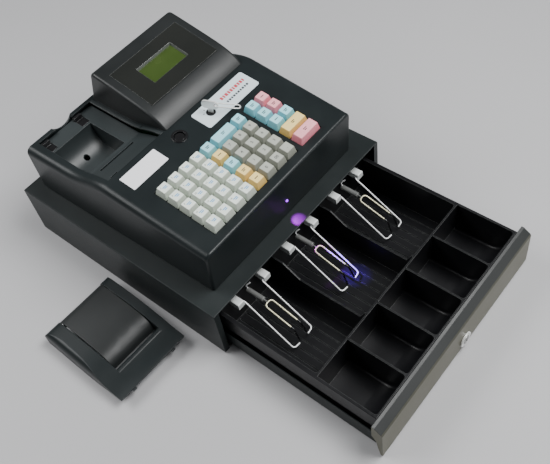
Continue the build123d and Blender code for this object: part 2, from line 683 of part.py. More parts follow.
def printer_cover():
    """Cover shell: two side rails joined by the front plate and its round bar."""
    ceiling = COVER_HEIGHT + 0.1
    shoulder = ThreePointArc((0, 17), (2.6, 24.3), (9, ceiling))
    sides = Polyline((9, ceiling), (COVER_WIDTH + 1, ceiling), (COVER_WIDTH + 1, -1), (0, -1), (0, 17))
    rounded = Pos(0, COVER_DEPTH + 1, 0) * extrude(Plane.XZ * make_face(shoulder + sides), COVER_DEPTH + 2)
    cover = cover_block() & rounded
    inside = (3.0, COVER_WIDTH - 3.0)
    core = [(-1, 10), (12, 11.6), (32, 14.5), (50, 20.5), (70, 23.4), (COVER_DEPTH - 5, 23.0)]
    cover -= prism(core + [(COVER_DEPTH - 3, 14), (COVER_DEPTH - 3, -1), (-1, -1)], inside)
    opening = (COVER_LEFT_RAIL - LID_GAP, COVER_WIDTH - COVER_RIGHT_RAIL + LID_GAP)
    cover -= block(opening, (EXIT_BAR[0] - 3.5, COVER_DEPTH + 1), (-1, 40))
    for x in (COVER_LEFT_RAIL - 3, COVER_WIDTH - COVER_RIGHT_RAIL + 1):
        cover += prism(cheek_outline(), (x, x + 2.0))
        cover -= along_x(1.6, (x - 1, x + 3), LID_HINGE[0], LID_HINGE[1])
    cover += along_x(EXIT_BAR_RADIUS, (COVER_LEFT_RAIL - 2, COVER_WIDTH - COVER_RIGHT_RAIL + 2), *EXIT_BAR)
    for x in ((18, 24), (84, 90)):
        cover += block(x, (-2.2, 5), (13.2, 15.2))
    return COVER_PLACE * cover


def cheek_outline():
    """Inner cheek of a cover rail, down to the table."""
    return [(34, 10), (34, 17), (50, 22), (70, 25), (139, 25), (141, 20), (141, 0.2), (68, 0.2), (48, 4)]


def paper_lid():
    """Hinged paper lid, arched and curved down in front, with two stub pins."""
    x = (COVER_LEFT_RAIL, COVER_WIDTH - COVER_RIGHT_RAIL)
    rear = COVER_DEPTH - LID_GAP
    arch = [(42, 9), (46.4, 16.6), (56, 23.4), (74, 27.4), (100, 28.6), (126, 27.4), (139, 24.2), (rear, 17)]
    under = [(rear - 2.2, 16.5), (137.6, 22.2), (125.4, 25.2), (100, 26.4)]
    under += [(75, 25.2), (57.6, 21.4), (48.6, 15.6), (44.4, 8.4)]
    outline = Spline(*arch) + Line(arch[-1], under[0]) + Spline(*under) + Line(under[-1], arch[0])
    lid = extrude(Plane.YZ.offset(x[0]) * make_face(outline), x[1] - x[0])
    for side in ((x[0] - 2.6, x[0] + 3), (x[1] - 3, x[1] + 2.6)):
        lid += along_x(1.5, side, *LID_HINGE)
        lid += block((max(side[0], x[0] + 0.1), min(side[1], x[1] - 0.1)), (132, 136), (17.6, 24.6))
    return COVER_PLACE * lid


# ---------------------------------------------------------------- keys

def cap(width):
    """Key cap: a sloping block with soft edges, on a square stem."""
    height = CAP_RISE + CAP_SKIRT
    grow = width - CAP_BASE
    base = Pos(0, 0, -CAP_SKIRT) * RectangleRounded(CAP_BASE + grow, CAP_BASE, 1.2)
    top = Pos(0, 0.3, CAP_RISE) * RectangleRounded(CAP_TOP + grow, CAP_TOP, 1.6)
    body = loft([base, top])
    body = fillet(body.edges().group_by(Axis.Z)[-1], 0.6)
    stem = Pos(0, 0, -CAP_SKIRT - 8.0) * Box(STEM, STEM, 9.0, align=(Align.CENTER, Align.CENTER, Align.MIN))
    return body + stem


def row_place(row):
    """Distance up the slope of a row, counted from the front."""
    return FRONT_ROW + row * KEY_PITCH


def column_place(column):
    """Place across of a column, counted from the left."""
    return FIRST_KEY_X + column * KEY_PITCH


def stem_places():
    """Every key as (x, distance up the slope, cap width)."""
    places = []
    for row in range(KEY_ROWS):
        for column in range(KEY_COLUMNS):
            if (row, column) not in ((4, 5), (4, 6)):
                places.append((column_place(column), row_place(row), CAP_BASE))
    places.append((column_place(5.5), row_place(4), WIDE))
    for row in (2, 3, 4):
        for x in SIDE_COLUMNS:
            places.append((x, row_place(row), CAP_BASE))
    middle = sum(SIDE_COLUMNS) / 2
    places.append((middle, row_place(0), WIDE))
    places.append((middle, row_place(1), WIDE))
    return places


def key_at(x, row, width=CAP_BASE):
    """One key in its place on the keyboard."""
    return SURFACE * Pos(x, row, 0) * cap(width)


def department_keys():
    """The left block of keys, five rows of four."""
    keys = []
    for row in range(KEY_ROWS):
        for column in range(4):
            keys.append(key_at(column_place(column), row_place(row)))
    return Compound(keys)


def function_keys():
    """Keys of the middle column, the back row and the side block."""
    keys = []
    for column, row in FUNCTION_CELLS:
        keys.append(key_at(column_place(column), row_place(row)))
    for row in (2, 3, 4):
        for x in SIDE_COLUMNS:
            keys.append(key_at(x, row_place(row)))
    return Compound(keys)


def case_screws():
    """Four countersunk screws that hold the base pan's front and back edges."""
    screws = []
    for x in (-120, 120):
        for y in (-120, 120):
            screws.append(upright(3.0, 0.8, x, y, FOOT_HEIGHT - 0.8))
    return Compound(screws)


def build():
    """Make every node and write it to the parts folder."""
    os.makedirs("parts", exist_ok=True)
    case_solid = rounded_case(0, CASE_BOTTOM)
    middle = sum(SIDE_COLUMNS) / 2
    nodes = {
        "cabinet_shell": cabinet_shell(),
        "cabinet_base": cabinet_base(),
        "rubber_feet": rubber_feet(),
        "slide_rails": slide_rails(),
        "drawer_latch": drawer_latch(),
        "base_screws": case_screws(),
        "drawer_frame": drawer_frame(),
        "slide_rollers": slide_rollers(),
        "drawer_front": drawer_front(),
        "drawer_lock_barrel": lock_barrel(),
        "drawer_lock_core": lock_core(),
        "cash_tray": cash_tray(),
        "clip_blocks": clip_blocks(),
        "upper_case": upper_case(case_solid),
        "lower_case": lower_case(),
        "main_board": main_board(),
        "keyboard_board": keyboard_board(),
        "button_ring": button_ring(),
        "push_button": push_button(),
        "blank_label": blank_label(),
        "lock_plate": lock_plate(),
        "mode_lock_barrel": mode_lock_barrel(),
        "mode_lock_plug": mode_lock_plug(),
        "mode_key": mode_key(),
        "key_ring": key_ring(),
        "display_hood": display_hood(case_solid),
        "display_panel": display_panel(),
        "lcd_module": lcd_module(),
        "customer_window": customer_window(),
        "printer_bay": printer_bay(),
        "latch_clips": latch_clips(),
        "print_mechanism": print_mechanism(),
        "platen_roller": platen_roller(),
        "indicator_lamp": indicator_lamp(),
        "power_jack": power_jack(),
        "printer_cover": printer_cover(),
        "paper_lid": paper_lid(),
        "department_keys": department_keys(),
        "function_keys": function_keys(),
        "clear_key": key_at(column_place(5.5), row_place(4), WIDE),
        "subtotal_key": key_at(middle, row_place(1), WIDE),
        "total_key": key_at(middle, row_place(0), WIDE),
    }
    for side, centre in CLIP_CENTRES.items():
        nodes["bill_bail_" + side] = bill_bail(centre)
        nodes["bill_spring_" + side] = bill_spring(centre)
    for name, (column, row) in DIGITS.items():
        nodes[name] = key_at(column_place(column), row_place(row))
    for name, shape in nodes.items():
        export_step(shape, "parts/" + name + ".step")
        print(name, round(shape.volume))


build()
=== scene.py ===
import math

import bmesh
import bpy
from mathutils import Matrix, Vector


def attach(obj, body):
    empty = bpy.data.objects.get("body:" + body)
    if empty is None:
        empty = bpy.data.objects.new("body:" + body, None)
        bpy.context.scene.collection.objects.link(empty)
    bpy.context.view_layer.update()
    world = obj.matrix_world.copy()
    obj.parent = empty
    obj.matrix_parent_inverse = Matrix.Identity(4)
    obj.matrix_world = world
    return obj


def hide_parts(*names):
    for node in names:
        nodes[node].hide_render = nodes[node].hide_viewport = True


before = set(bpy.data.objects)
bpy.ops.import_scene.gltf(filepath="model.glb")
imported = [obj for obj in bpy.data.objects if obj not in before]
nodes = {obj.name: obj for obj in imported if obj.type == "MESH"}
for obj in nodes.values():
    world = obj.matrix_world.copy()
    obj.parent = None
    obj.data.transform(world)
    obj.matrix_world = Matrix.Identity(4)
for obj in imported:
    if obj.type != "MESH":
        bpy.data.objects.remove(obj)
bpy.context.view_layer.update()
print("frame loaded:", len(nodes), "nodes")

mm = 0.001

# the sloping keyboard deck: everything on it is placed in this plane
deck = {"front": (0.0, -150.0, 155.5), "slope": 5.7}


def shift(x, y, z):
    # a move in millimetres
    return Matrix.Translation(Vector((x, y, z)) * mm)


def tilt(degrees):
    return Matrix.Rotation(math.radians(degrees), 4, "X")


deckPlace = shift(*deck["front"]) @ tilt(deck["slope"])


def onDeck(x, y):
    # x and y as seen from above, in millimetres
    along = (y - deck["front"][1]) / math.cos(math.radians(deck["slope"]))
    return deckPlace @ shift(x, along, 0)


# materials

def startMaterial(name):
    mat = bpy.data.materials.new(name)
    mat.use_nodes = True
    shader = mat.node_tree.nodes["Principled BSDF"]
    place = mat.node_tree.nodes.new("ShaderNodeTexCoord")
    return mat, mat.node_tree, shader, place.outputs["Object"]


def addNoise(tree, place, scale, detail=3.0, stretch=(1, 1, 1)):
    spread = tree.nodes.new("ShaderNodeMapping")
    spread.inputs["Scale"].default_value = stretch
    tree.links.new(place, spread.inputs["Vector"])
    noise = tree.nodes.new("ShaderNodeTexNoise")
    noise.inputs["Scale"].default_value = scale
    noise.inputs["Detail"].default_value = detail
    tree.links.new(spread.outputs["Vector"], noise.inputs["Vector"])
    return noise.outputs["Fac"]


def addRamp(tree, value, low, high, at=(0.3, 0.7)):
    ramp = tree.nodes.new("ShaderNodeMapRange")
    ramp.inputs["From Min"].default_value = at[0]
    ramp.inputs["From Max"].default_value = at[1]
    ramp.inputs["To Min"].default_value = low
    ramp.inputs["To Max"].default_value = high
    tree.links.new(value, ramp.inputs["Value"])
    return ramp.outputs["Result"]


def addMix(tree, value, first, second):
    # first and second are colours or sockets
    mix = tree.nodes.new("ShaderNodeMix")
    mix.data_type = "RGBA"
    tree.links.new(value, mix.inputs["Factor"])
    for end, name in ((first, "A"), (second, "B")):
        socket = [s for s in mix.inputs if s.name == name and s.type == "RGBA"][0]
        if isinstance(end, bpy.types.NodeSocket):
            tree.links.new(end, socket)
        else:
            socket.default_value = (*end, 1)
    return [s for s in mix.outputs if s.type == "RGBA"][0]


def addMath(tree, kind, first, second):
    # first and second are sockets
    step = tree.nodes.new("ShaderNodeMath")
    step.operation = kind
    for socket, end in zip(step.inputs, (first, second)):
        tree.links.new(end, socket)
    return step.outputs[0]


def addEdges(tree, radius):
    # rounded normals at sharp edges, and a mask that is 1 on those edges
    soft = tree.nodes.new("ShaderNodeBevel")
    soft.samples = 6
    soft.inputs["Radius"].default_value = radius * mm
    face = tree.nodes.new("ShaderNodeNewGeometry")
    dot = tree.nodes.new("ShaderNodeVectorMath")
    dot.operation = "DOT_PRODUCT"
    tree.links.new(soft.outputs["Normal"], dot.inputs[0])
    tree.links.new(face.outputs["Normal"], dot.inputs[1])
    mask = addRamp(tree, dot.outputs["Value"], 1.0, 0.0, (0.86, 0.995))
    return soft.outputs["Normal"], mask


def makeFinish(name, look):
    # colour and second are the two ends of the colour variation, rough is a range, grain is a scale and a height in
    # millimetres, and edge is the radius, colour and share of the light line on sharp edges, part wear, part painted
    # highlight
    mat, tree, shader, place = startMaterial(name)
    shader.inputs["Metallic"].default_value = look.get("metal", 0.0)
    shader.inputs["IOR"].default_value = 1.5
    shader.inputs["Specular IOR Level"].default_value = look.get("gloss", 0.5)
    cloud = addNoise(tree, place, look.get("cloud", 22.0), 4.0, look.get("stretch", (1, 1, 1)))
    fine = addNoise(tree, place, look["grain"][0], 2.0, look.get("stretch", (1, 1, 1)))
    colour = addMix(tree, addRamp(tree, cloud, 0, 1), look["colour"], look["second"])
    specks = addRamp(tree, fine, 0, 0.5, (0.5, 0.75))
    speckle = addMix(tree, specks, colour, look.get("speck", look["second"]))
    edgeNormal, edge = addEdges(tree, look["edge"][0])
    # the light edge line is part wear and part painted highlight, broken up by noise
    edgeWearAndSheen = addNoise(tree, place, 160.0, 3.0)
    share = addMath(tree, "MULTIPLY", edge, addRamp(tree, edgeWearAndSheen, look["edge"][2] * 0.3, look["edge"][2]))
    final = addMix(tree, share, speckle, look["edge"][1])
    tree.links.new(final, shader.inputs["Base Color"])
    low, high = look["rough"]
    clouded = addRamp(tree, cloud, low, (low + high) / 2)
    patchy = addMath(tree, "ADD", clouded, addRamp(tree, fine, 0, (high - low) / 2))
    tree.links.new(patchy, shader.inputs["Roughness"])
    bump = tree.nodes.new("ShaderNodeBump")
    bump.inputs["Distance"].default_value = look["grain"][1] * mm
    bump.inputs["Strength"].default_value = 1.0
    tree.links.new(fine, bump.inputs["Height"])
    tree.links.new(edgeNormal, bump.inputs["Normal"])
    tree.links.new(bump.outputs["Normal"], shader.inputs["Normal"])
    if "coat" in look:
        shader.inputs["Coat Weight"].default_value = look["coat"]
        shader.inputs["Coat Roughness"].default_value = 0.1
    if "through" in look:
        shader.inputs["Subsurface Weight"].default_value = look["through"]
        shader.inputs["Subsurface Radius"].default_value = (0.002, 0.002, 0.002)
    return mat


# each edge colour is a light line on sharp edges, part wear and part painted highlight; on the tray rims and the
# gloss panel it is mostly painted highlight
finishes = {
    "powderCoat": dict(colour=(0.0125, 0.0165, 0.0168), second=(0.0190, 0.0240, 0.0244), rough=(0.40, 0.54),
                       grain=(1700, 0.035), edge=(0.7, (0.040, 0.046, 0.047), 0.8), gloss=0.25),
    "casePlastic": dict(colour=(0.0088, 0.0125, 0.0134), second=(0.0124, 0.0168, 0.0178), rough=(0.30, 0.42),
                        grain=(2300, 0.03), edge=(1.1, (0.040, 0.048, 0.050), 0.6), gloss=0.3),
    "bayPlastic": dict(colour=(0.0215, 0.0275, 0.0285), second=(0.0265, 0.0335, 0.0350), rough=(0.34, 0.46),
                       grain=(2300, 0.03), edge=(0.8, (0.06, 0.07, 0.074), 0.6)),
    "hoodPlastic": dict(colour=(0.0110, 0.0130, 0.0132), second=(0.0150, 0.0175, 0.0178), rough=(0.34, 0.48),
                        grain=(2300, 0.03), edge=(1.0, (0.042, 0.048, 0.049), 0.7), gloss=0.4),
    "trayPlastic": dict(colour=(0.0058, 0.0060, 0.0070), second=(0.0088, 0.0090, 0.0104), rough=(0.28, 0.42),
                        grain=(1300, 0.03), edge=(0.7, (0.15, 0.16, 0.155), 1.0), gloss=0.24),
    "zincSteel": dict(colour=(0.42, 0.43, 0.44), second=(0.5, 0.5, 0.5), metal=1.0, rough=(0.3, 0.45),
                      grain=(900, 0.01), stretch=(1, 0.1, 1), edge=(0.4, (0.6, 0.6, 0.6), 0.5)),
    "rubber": dict(colour=(0.012, 0.012, 0.012), second=(0.02, 0.02, 0.02), rough=(0.7, 0.85),
                   grain=(1800, 0.03), edge=(0.5, (0.04, 0.04, 0.04), 0.4)),
    "nylon": dict(colour=(0.6, 0.58, 0.52), second=(0.66, 0.64, 0.58), rough=(0.4, 0.5),
                  grain=(1500, 0.01), edge=(0.4, (0.7, 0.7, 0.65), 0.4), through=0.2),
    "castMetal": dict(colour=(0.80, 0.83, 0.82), second=(0.90, 0.93, 0.92), metal=0.1, rough=(0.34, 0.5),
                      grain=(1400, 0.05), edge=(0.7, (0.92, 0.93, 0.93), 0.8)),
    "brightWire": dict(colour=(0.90, 0.91, 0.92), second=(0.96, 0.97, 0.98), metal=0.2, rough=(0.16, 0.3),
                       grain=(1200, 0.006), stretch=(1, 0.15, 1), edge=(0.2, (0.97, 0.97, 0.97), 0.4)),
    "warmWire": dict(colour=(0.78, 0.74, 0.50), second=(0.86, 0.82, 0.60), metal=0.3, rough=(0.2, 0.34),
                     grain=(1200, 0.006), stretch=(1, 0.15, 1), edge=(0.2, (0.95, 0.93, 0.8), 0.4)),
    "sleeveGrey": dict(colour=(0.17, 0.175, 0.17), second=(0.24, 0.245, 0.24), metal=0.3, rough=(0.32, 0.5),
                       grain=(1100, 0.02), edge=(0.4, (0.5, 0.5, 0.48), 0.7)),
    "lockChrome": dict(colour=(0.84, 0.85, 0.83), second=(0.93, 0.93, 0.91), metal=0.3, rough=(0.16, 0.3),
                       grain=(1500, 0.01), edge=(0.5, (0.95, 0.95, 0.93), 0.6)),
    "lockCore": dict(colour=(0.20, 0.20, 0.19), second=(0.28, 0.28, 0.27), metal=0.6, rough=(0.2, 0.34),
                     grain=(1500, 0.01), edge=(0.4, (0.8, 0.8, 0.78), 0.7)),
    "labelWhite": dict(colour=(0.90, 0.90, 0.95), second=(0.94, 0.94, 0.97), rough=(0.3, 0.42),
                       grain=(1900, 0.006), edge=(0.2, (0.97, 0.97, 0.99), 0.5)),
    "plateSilver": dict(colour=(0.66, 0.76, 0.80), second=(0.72, 0.81, 0.85), rough=(0.3, 0.42),
                        grain=(1900, 0.008), edge=(0.4, (0.9, 0.93, 0.95), 0.6)),
    "smallBlack": dict(colour=(0.0050, 0.0050, 0.0056), second=(0.0080, 0.0080, 0.0088), rough=(0.18, 0.32),
                       grain=(1700, 0.012), edge=(0.6, (0.06, 0.064, 0.068), 0.8)),
    "panelGloss": dict(colour=(0.0125, 0.0138, 0.0120), second=(0.0155, 0.0168, 0.0148), rough=(0.12, 0.22),
                       grain=(900, 0.004), edge=(0.5, (0.3, 0.31, 0.3), 0.9), coat=0.5),
    "bezelGrey": dict(colour=(0.09, 0.10, 0.09), second=(0.12, 0.13, 0.12), rough=(0.3, 0.4),
                      grain=(1300, 0.01), edge=(0.3, (0.4, 0.42, 0.4), 0.6)),
    "boardGreen": dict(colour=(0.02, 0.10, 0.04), second=(0.03, 0.13, 0.05), rough=(0.3, 0.42),
                       grain=(900, 0.02), edge=(0.3, (0.12, 0.2, 0.1), 0.6)),
}
made = {name: makeFinish(name, look) for name, look in finishes.items()}


def paint(node, finish):
    mesh = nodes[node].data
    mesh.materials.clear()
    mesh.materials.append(made[finish] if isinstance(finish, str) else finish)


carried = {
    "powderCoat": ["cabinet_shell", "drawer_frame"],
    "casePlastic": ["upper_case", "printer_cover"],
    "bayPlastic": ["printer_bay"],
    "hoodPlastic": ["display_hood", "paper_lid"],
    "trayPlastic": ["cash_tray"],
    "zincSteel": ["cabinet_base", "slide_rails", "drawer_latch", "base_screws", "print_mechanism"],
    "rubber": ["rubber_feet", "platen_roller"],
    "nylon": ["slide_rollers"],
    "castMetal": ["clip_blocks"],
    "lockChrome": ["drawer_lock_barrel", "mode_key", "key_ring"],
    "lockCore": ["drawer_lock_core"],
    "labelWhite": ["blank_label"],
    "plateSilver": ["lock_plate"],
    "smallBlack": ["lower_case", "keyboard_board", "button_ring", "push_button", "mode_lock_barrel",
                   "mode_lock_plug", "latch_clips", "power_jack"],
    "panelGloss": ["display_panel", "customer_window"],
    "boardGreen": ["main_board"],
}
for finish, names in carried.items():
    for name in names:
        paint(name, finish)


def makeFrontPaint():
    # satin dark grey paint, with painted light making the upright face lighter and warmer and painted shade making
    # the sloping top darker
    look = dict(colour=(0.098, 0.094, 0.062), second=(0.118, 0.113, 0.076), rough=(0.36, 0.5),
                grain=(1500, 0.03), edge=(0.7, (0.13, 0.13, 0.11), 0.7))
    mat = makeFinish("frontPaint", look)
    tree = mat.node_tree
    shader = tree.nodes["Principled BSDF"]
    litFaceColour = shader.inputs["Base Color"].links[0].from_socket
    face = tree.nodes.new("ShaderNodeNewGeometry")
    parts = tree.nodes.new("ShaderNodeSeparateXYZ")
    tree.links.new(face.outputs["Normal"], parts.inputs[0])
    paintedShadeOnTop = addRamp(tree, parts.outputs["Z"], 0.0, 1.0, (0.35, 0.6))
    # faces that point up take a darker colour, painted shade on the sloping top
    tree.links.new(addMix(tree, paintedShadeOnTop, litFaceColour, (0.0100, 0.0125, 0.0122)), shader.inputs["Base Color"])
    return mat


def makeLcd():
    # olive liquid crystal glass with a fine speckle under a clear coat
    mat, tree, shader, place = startMaterial("lcdOlive")
    cloud = addNoise(tree, place, 30.0, 2.0)
    base = addMix(tree, addRamp(tree, cloud, 0, 1), (0.036, 0.066, 0.010), (0.048, 0.082, 0.014))
    fine = addNoise(tree, place, 1500.0, 1.0)
    speckle = addMix(tree, addRamp(tree, fine, 0, 0.4), base, (0.030, 0.054, 0.009))
    tree.links.new(speckle, shader.inputs["Base Color"])
    tree.links.new(addRamp(tree, cloud, 0.2, 0.3), shader.inputs["Roughness"])
    shader.inputs["Coat Weight"].default_value = 0.5
    return mat


def makeLamp():
    # violet lens that glows
    mat, tree, shader, place = startMaterial("lampViolet")
    cloud = addNoise(tree, place, 400.0, 2.0)
    tree.links.new(addMix(tree, cloud, (0.20, 0.02, 0.9), (0.35, 0.08, 1.0)), shader.inputs["Base Color"])
    tree.links.new(addMix(tree, cloud, (0.30, 0.01, 1.0), (0.50, 0.06, 1.0)), shader.inputs["Emission Color"])
    shader.inputs["Emission Strength"].default_value = 3.0
    return mat


paint("lcd_module", makeLcd())
paint("drawer_front", makeFrontPaint())
paint("indicator_lamp", makeLamp())
print("frame painted")


# making and joining meshes

def addObject(name, data):
    obj = bpy.data.objects.new(name, data)
    bpy.context.scene.collection.objects.link(obj)
    return obj


def finishPiece(bm, name, body, mats, stands=(), smooth=True, angle=40):
    mesh = bpy.data.meshes.new(name)
    bm.to_mesh(mesh)
    bm.free()
    for mat in mats:
        mesh.materials.append(mat)
    piece = addObject(name, mesh)
    if smooth:
        for face in mesh.polygons:
            face.use_smooth = True
        mesh.set_sharp_from_angle(angle=math.radians(angle))
    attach(piece, body)
    if stands:
        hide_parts(*stands)
    return piece


def setMaterial(bm, before, index):
    for face in bm.faces:
        if face not in before:
            face.material_index = index


def freshVerts(bm, before):
    return list({v for f in bm.faces if f not in before for v in f.verts})


def soften(bm, edges, offset, segments):
    # rounds edges by an offset in millimetres
    bmesh.ops.bevel(bm, geom=edges, offset=offset * mm, segments=segments, affect="EDGES", profile=0.5, material=-1)


def addBar(bm, size, place, index, rounding=0.0):
    # a box about the middle of a place, its size and rounding in millimetres
    before = set(bm.faces)
    cube = bmesh.ops.create_cube(bm, size=1)
    bmesh.ops.scale(bm, vec=Vector(size) * mm, verts=cube["verts"])
    if rounding:
        edges = list({e for v in cube["verts"] for e in v.link_edges})
        soften(bm, edges, rounding, 3)
    bmesh.ops.transform(bm, matrix=place, verts=freshVerts(bm, before))
    setMaterial(bm, before, index)


# keys

keyLook = {"base": 17.9, "top": 13.4, "rise": 8.6, "skirt": 1.5, "corner": 1.3, "edge": 0.5, "back": 0.3,
           "dish": 0.14, "rings": ((0.95, 0.0), (0.75, 0.08), (0.45, 0.04), (0.1, 0.02)),
           "post": (5.0, 8.0), "postMiddle": -5.4}
keyGrid = {"pitch": 19.05, "firstX": -96.55, "firstRow": 17.43, "sideX": (64.4, 83.4)}

# dashes in place of words, each with its middle, width and height, and the sizes of the real numbers
markLook = {"thick": 0.12, "number": 3.2, "numberAt": (-3.4, 3.0), "digit": 5.6,
            "name": ((0.62, 0.6, 6.0, 1.1), (1.22, -1.4, 4.4, 1.1)),
            "single": ((0.0, 0.0, 5.8, 1.0),),
            "double": ((0.0, 1.0, 5.8, 1.0), (-0.8, -1.1, 4.0, 1.0))}

# top colour of each kind of cap, and a darker copy of it for the sides as painted shade
keyColours = {
    "white": ((0.50, 0.55, 0.48), (0.80, 0.87, 0.80)),
    "cyan": ((0.20, 0.50, 0.57), (0.38, 0.76, 0.84)),
    "yellow": ((0.66, 0.45, 0.14), (0.92, 0.71, 0.29)),
    "pink": ((0.68, 0.22, 0.27), (0.93, 0.42, 0.47)),
    "grey": ((0.25, 0.26, 0.22), (0.42, 0.44, 0.39)),
}


def makeKeyPlastic(name, side, top):
    # the light line on the cap edges is the top colour made lighter, part wear and part painted highlight
    edgeWearAndSheen = tuple(min(1, c * 1.2) for c in top)
    look = dict(colour=side, second=tuple(c * 1.06 for c in side), speck=side, cloud=60.0, rough=(0.3, 0.42),
                grain=(1600, 0.012), edge=(0.5, edgeWearAndSheen, 0.6), through=0.12)
    return makeFinish(name, look)


keyMats = {}
for tint, (side, top) in keyColours.items():
    # each cap colour makes a top material and a darker side material, the darker one painted shade
    name = "key" + tint.title()
    keyMats[tint] = (makeKeyPlastic(name + "Side", side, top), makeKeyPlastic(name + "Top", top, top))


def makeInk(name, first, second, edge):
    look = dict(colour=first, second=second, rough=(0.45, 0.6), grain=(2200, 0.004), edge=(0.01, edge, 0.1))
    return makeFinish(name, look)


inkDark = makeInk("inkDark", (0.012, 0.013, 0.02), (0.02, 0.021, 0.03), (0.02, 0.02, 0.03))
inkBlue = makeInk("inkBlue", (0.10, 0.34, 0.66), (0.14, 0.40, 0.72), (0.14, 0.4, 0.72))
inkRed = makeInk("inkRed", (0.50, 0.04, 0.06), (0.58, 0.07, 0.09), (0.58, 0.07, 0.09))


def addCap(bm, place, width, sideIndex, topIndex):
    # one key cap: a cube narrowed at the top, rounded, with a shallow dish in its top face
    before = set(bm.faces)
    grow = width - keyLook["base"]
    cube = bmesh.ops.create_cube(bm, size=1)
    for v in cube["verts"]:
        upper = v.co.z > 0
        size = keyLook["top"] if upper else keyLook["base"]
        v.co.x = math.copysign((size + grow) / 2, v.co.x) * mm
        v.co.y = (math.copysign(size / 2, v.co.y) + (keyLook["back"] if upper else 0)) * mm
        v.co.z = (keyLook["rise"] if upper else -keyLook["skirt"]) * mm
    edges = list({e for v in cube["verts"] for e in v.link_edges})
    upright = [e for e in edges if abs(e.verts[0].co.z - e.verts[1].co.z) > keyLook["rise"] * mm / 2]
    soften(bm, upright, keyLook["corner"], 4)
    faces = [f for f in bm.faces if f not in before]
    lid = max(faces, key=lambda f: f.calc_center_median().z)
    soften(bm, list(lid.edges), keyLook["edge"], 3)
    faces = [f for f in bm.faces if f not in before]
    lid = max(faces, key=lambda f: (round(f.calc_center_median().z, 6), f.calc_area()))
    # the sides take the darker copy of the cap colour, painted shade
    for f in faces:
        f.material_index = sideIndex
    lid.material_index = topIndex
    for share, drop in keyLook["rings"]:
        # each ring of the dish is the last one drawn in towards the middle and let down a little
        grown = bmesh.ops.extrude_discrete_faces(bm, faces=[lid])
        lid = grown["faces"][0]
        middle = lid.calc_center_median()
        for v in lid.verts:
            v.co.x = middle.x + (v.co.x - middle.x) * share
            v.co.y = middle.y + (v.co.y - middle.y) * share
            v.co.z -= drop * mm
    bmesh.ops.transform(bm, matrix=place, verts=freshVerts(bm, before))
    # the square post under the cap
    wide, tall = keyLook["post"]
    addBar(bm, (wide, wide, tall), place @ shift(0, 0, keyLook["postMiddle"]), sideIndex)


def addText(bm, text, size, place, index):
    # a flat number, thin enough to look printed
    line = bpy.data.curves.new("number", "FONT")
    line.body = text
    line.size = size * mm
    line.align_x = "CENTER"
    line.align_y = "CENTER"
    line.extrude = 0.06 * mm
    line.resolution_u = 3
    carrier = bpy.data.objects.new("number", line)
    mesh = bpy.data.meshes.new_from_object(carrier)
    mesh.transform(place)
    before = set(bm.faces)
    bm.from_mesh(mesh)
    setMaterial(bm, before, index)
    bpy.data.objects.remove(carrier)
    bpy.data.curves.remove(line)
    bpy.data.meshes.remove(mesh)


def keyPlace(x, along):
    # x across the deck and the distance up its slope
    return deckPlace @ shift(x, along, 0)


def topOf(place, x, y):
    # a place on a cap's top face, half sunk in its dish
    return place @ shift(x, y + keyLook["back"], keyLook["rise"] - keyLook["dish"] * 0.5)


def column(n):
    return keyGrid["firstX"] + n * keyGrid["pitch"]


def row(n):
    return keyGrid["firstRow"] + n * keyGrid["pitch"]


def addMarks(bm, place, kind, index):
    for x, y, wide, tall in markLook[kind]:
        addBar(bm, (wide, tall, markLook["thick"]), topOf(place, x, y), index)


def makeDepartments():
    bm = bmesh.new()
    for r in range(5):
        for c in range(4):
            place = keyPlace(column(c), row(r))
            addCap(bm, place, keyLook["base"], 0, 1)
            number = str((4 - r) * 4 + c + 1)
            addText(bm, number, markLook["number"], topOf(place, *markLook["numberAt"]), 2)
            addMarks(bm, place, "name", 3)
    mats = [*keyMats["white"], inkDark, inkBlue]
    finishPiece(bm, "departmentCaps", "department_bank", mats, ["department_keys"])


def makeFunctions():
    tints = ["cyan", "yellow", "pink"]
    left, right = keyGrid["sideX"]
    cells = [(column(4), 4, "cyan"), (column(4), 3, "yellow"), (column(4), 2, "cyan"), (column(4), 1, "yellow"),
             (column(4), 0, "yellow"), (column(7), 4, "cyan"), (left, 4, "cyan"), (right, 4, "pink"),
             (left, 3, "cyan"), (right, 3, "pink"), (left, 2, "cyan"), (right, 2, "cyan")]
    bm = bmesh.new()
    for n, (x, r, tint) in enumerate(cells):
        place = keyPlace(x, row(r))
        side = tints.index(tint) * 2
        addCap(bm, place, keyLook["base"], side, side + 1)
        # every third cap carries one dash, the others two
        addMarks(bm, place, "single" if n % 3 == 1 else "double", 6)
    mats = [m for t in tints for m in keyMats[t]] + [inkDark]
    finishPiece(bm, "functionCaps", "function_bank", mats, ["function_keys"])


def makeWide(name, body, node, place, tint):
    bm = bmesh.new()
    addCap(bm, place, keyLook["base"] + keyGrid["pitch"], 0, 1)
    addMarks(bm, place, "double", 2)
    finishPiece(bm, name, body, [*keyMats[tint], inkDark], [node])


def makeDigit(text, c, r):
    tail = "point" if text == "." else text
    bm = bmesh.new()
    place = keyPlace(column(c), row(r))
    addCap(bm, place, keyLook["base"], 0, 1)
    addText(bm, text, markLook["digit"], topOf(place, 0, 0), 2)
    finishPiece(bm, "cap_" + tail, "digit_" + tail, [*keyMats["grey"], inkDark], ["key_" + tail])


makeDepartments()
makeFunctions()
sideMiddle = sum(keyGrid["sideX"]) / 2
makeWide("clearCap", "clear", "clear_key", keyPlace(column(5.5), row(4)), "cyan")
makeWide("subtotalCap", "subtotal", "subtotal_key", keyPlace(sideMiddle, row(1)), "yellow")
makeWide("totalCap", "total", "total_key", keyPlace(sideMiddle, row(0)), "pink")
digits = {"7": (5, 3), "8": (6, 3), "9": (7, 3), "4": (5, 2), "5": (6, 2), "6": (7, 2),
          "1": (5, 1), "2": (6, 1), "3": (7, 1), "0": (5, 0), "00": (6, 0), ".": (7, 0)}
for text, (c, r) in digits.items():
    makeDigit(text, c, r)
print("keys made")


# bill clips

clipCentres = {"left": -98.2, "middle": 0.0, "right": 98.2}

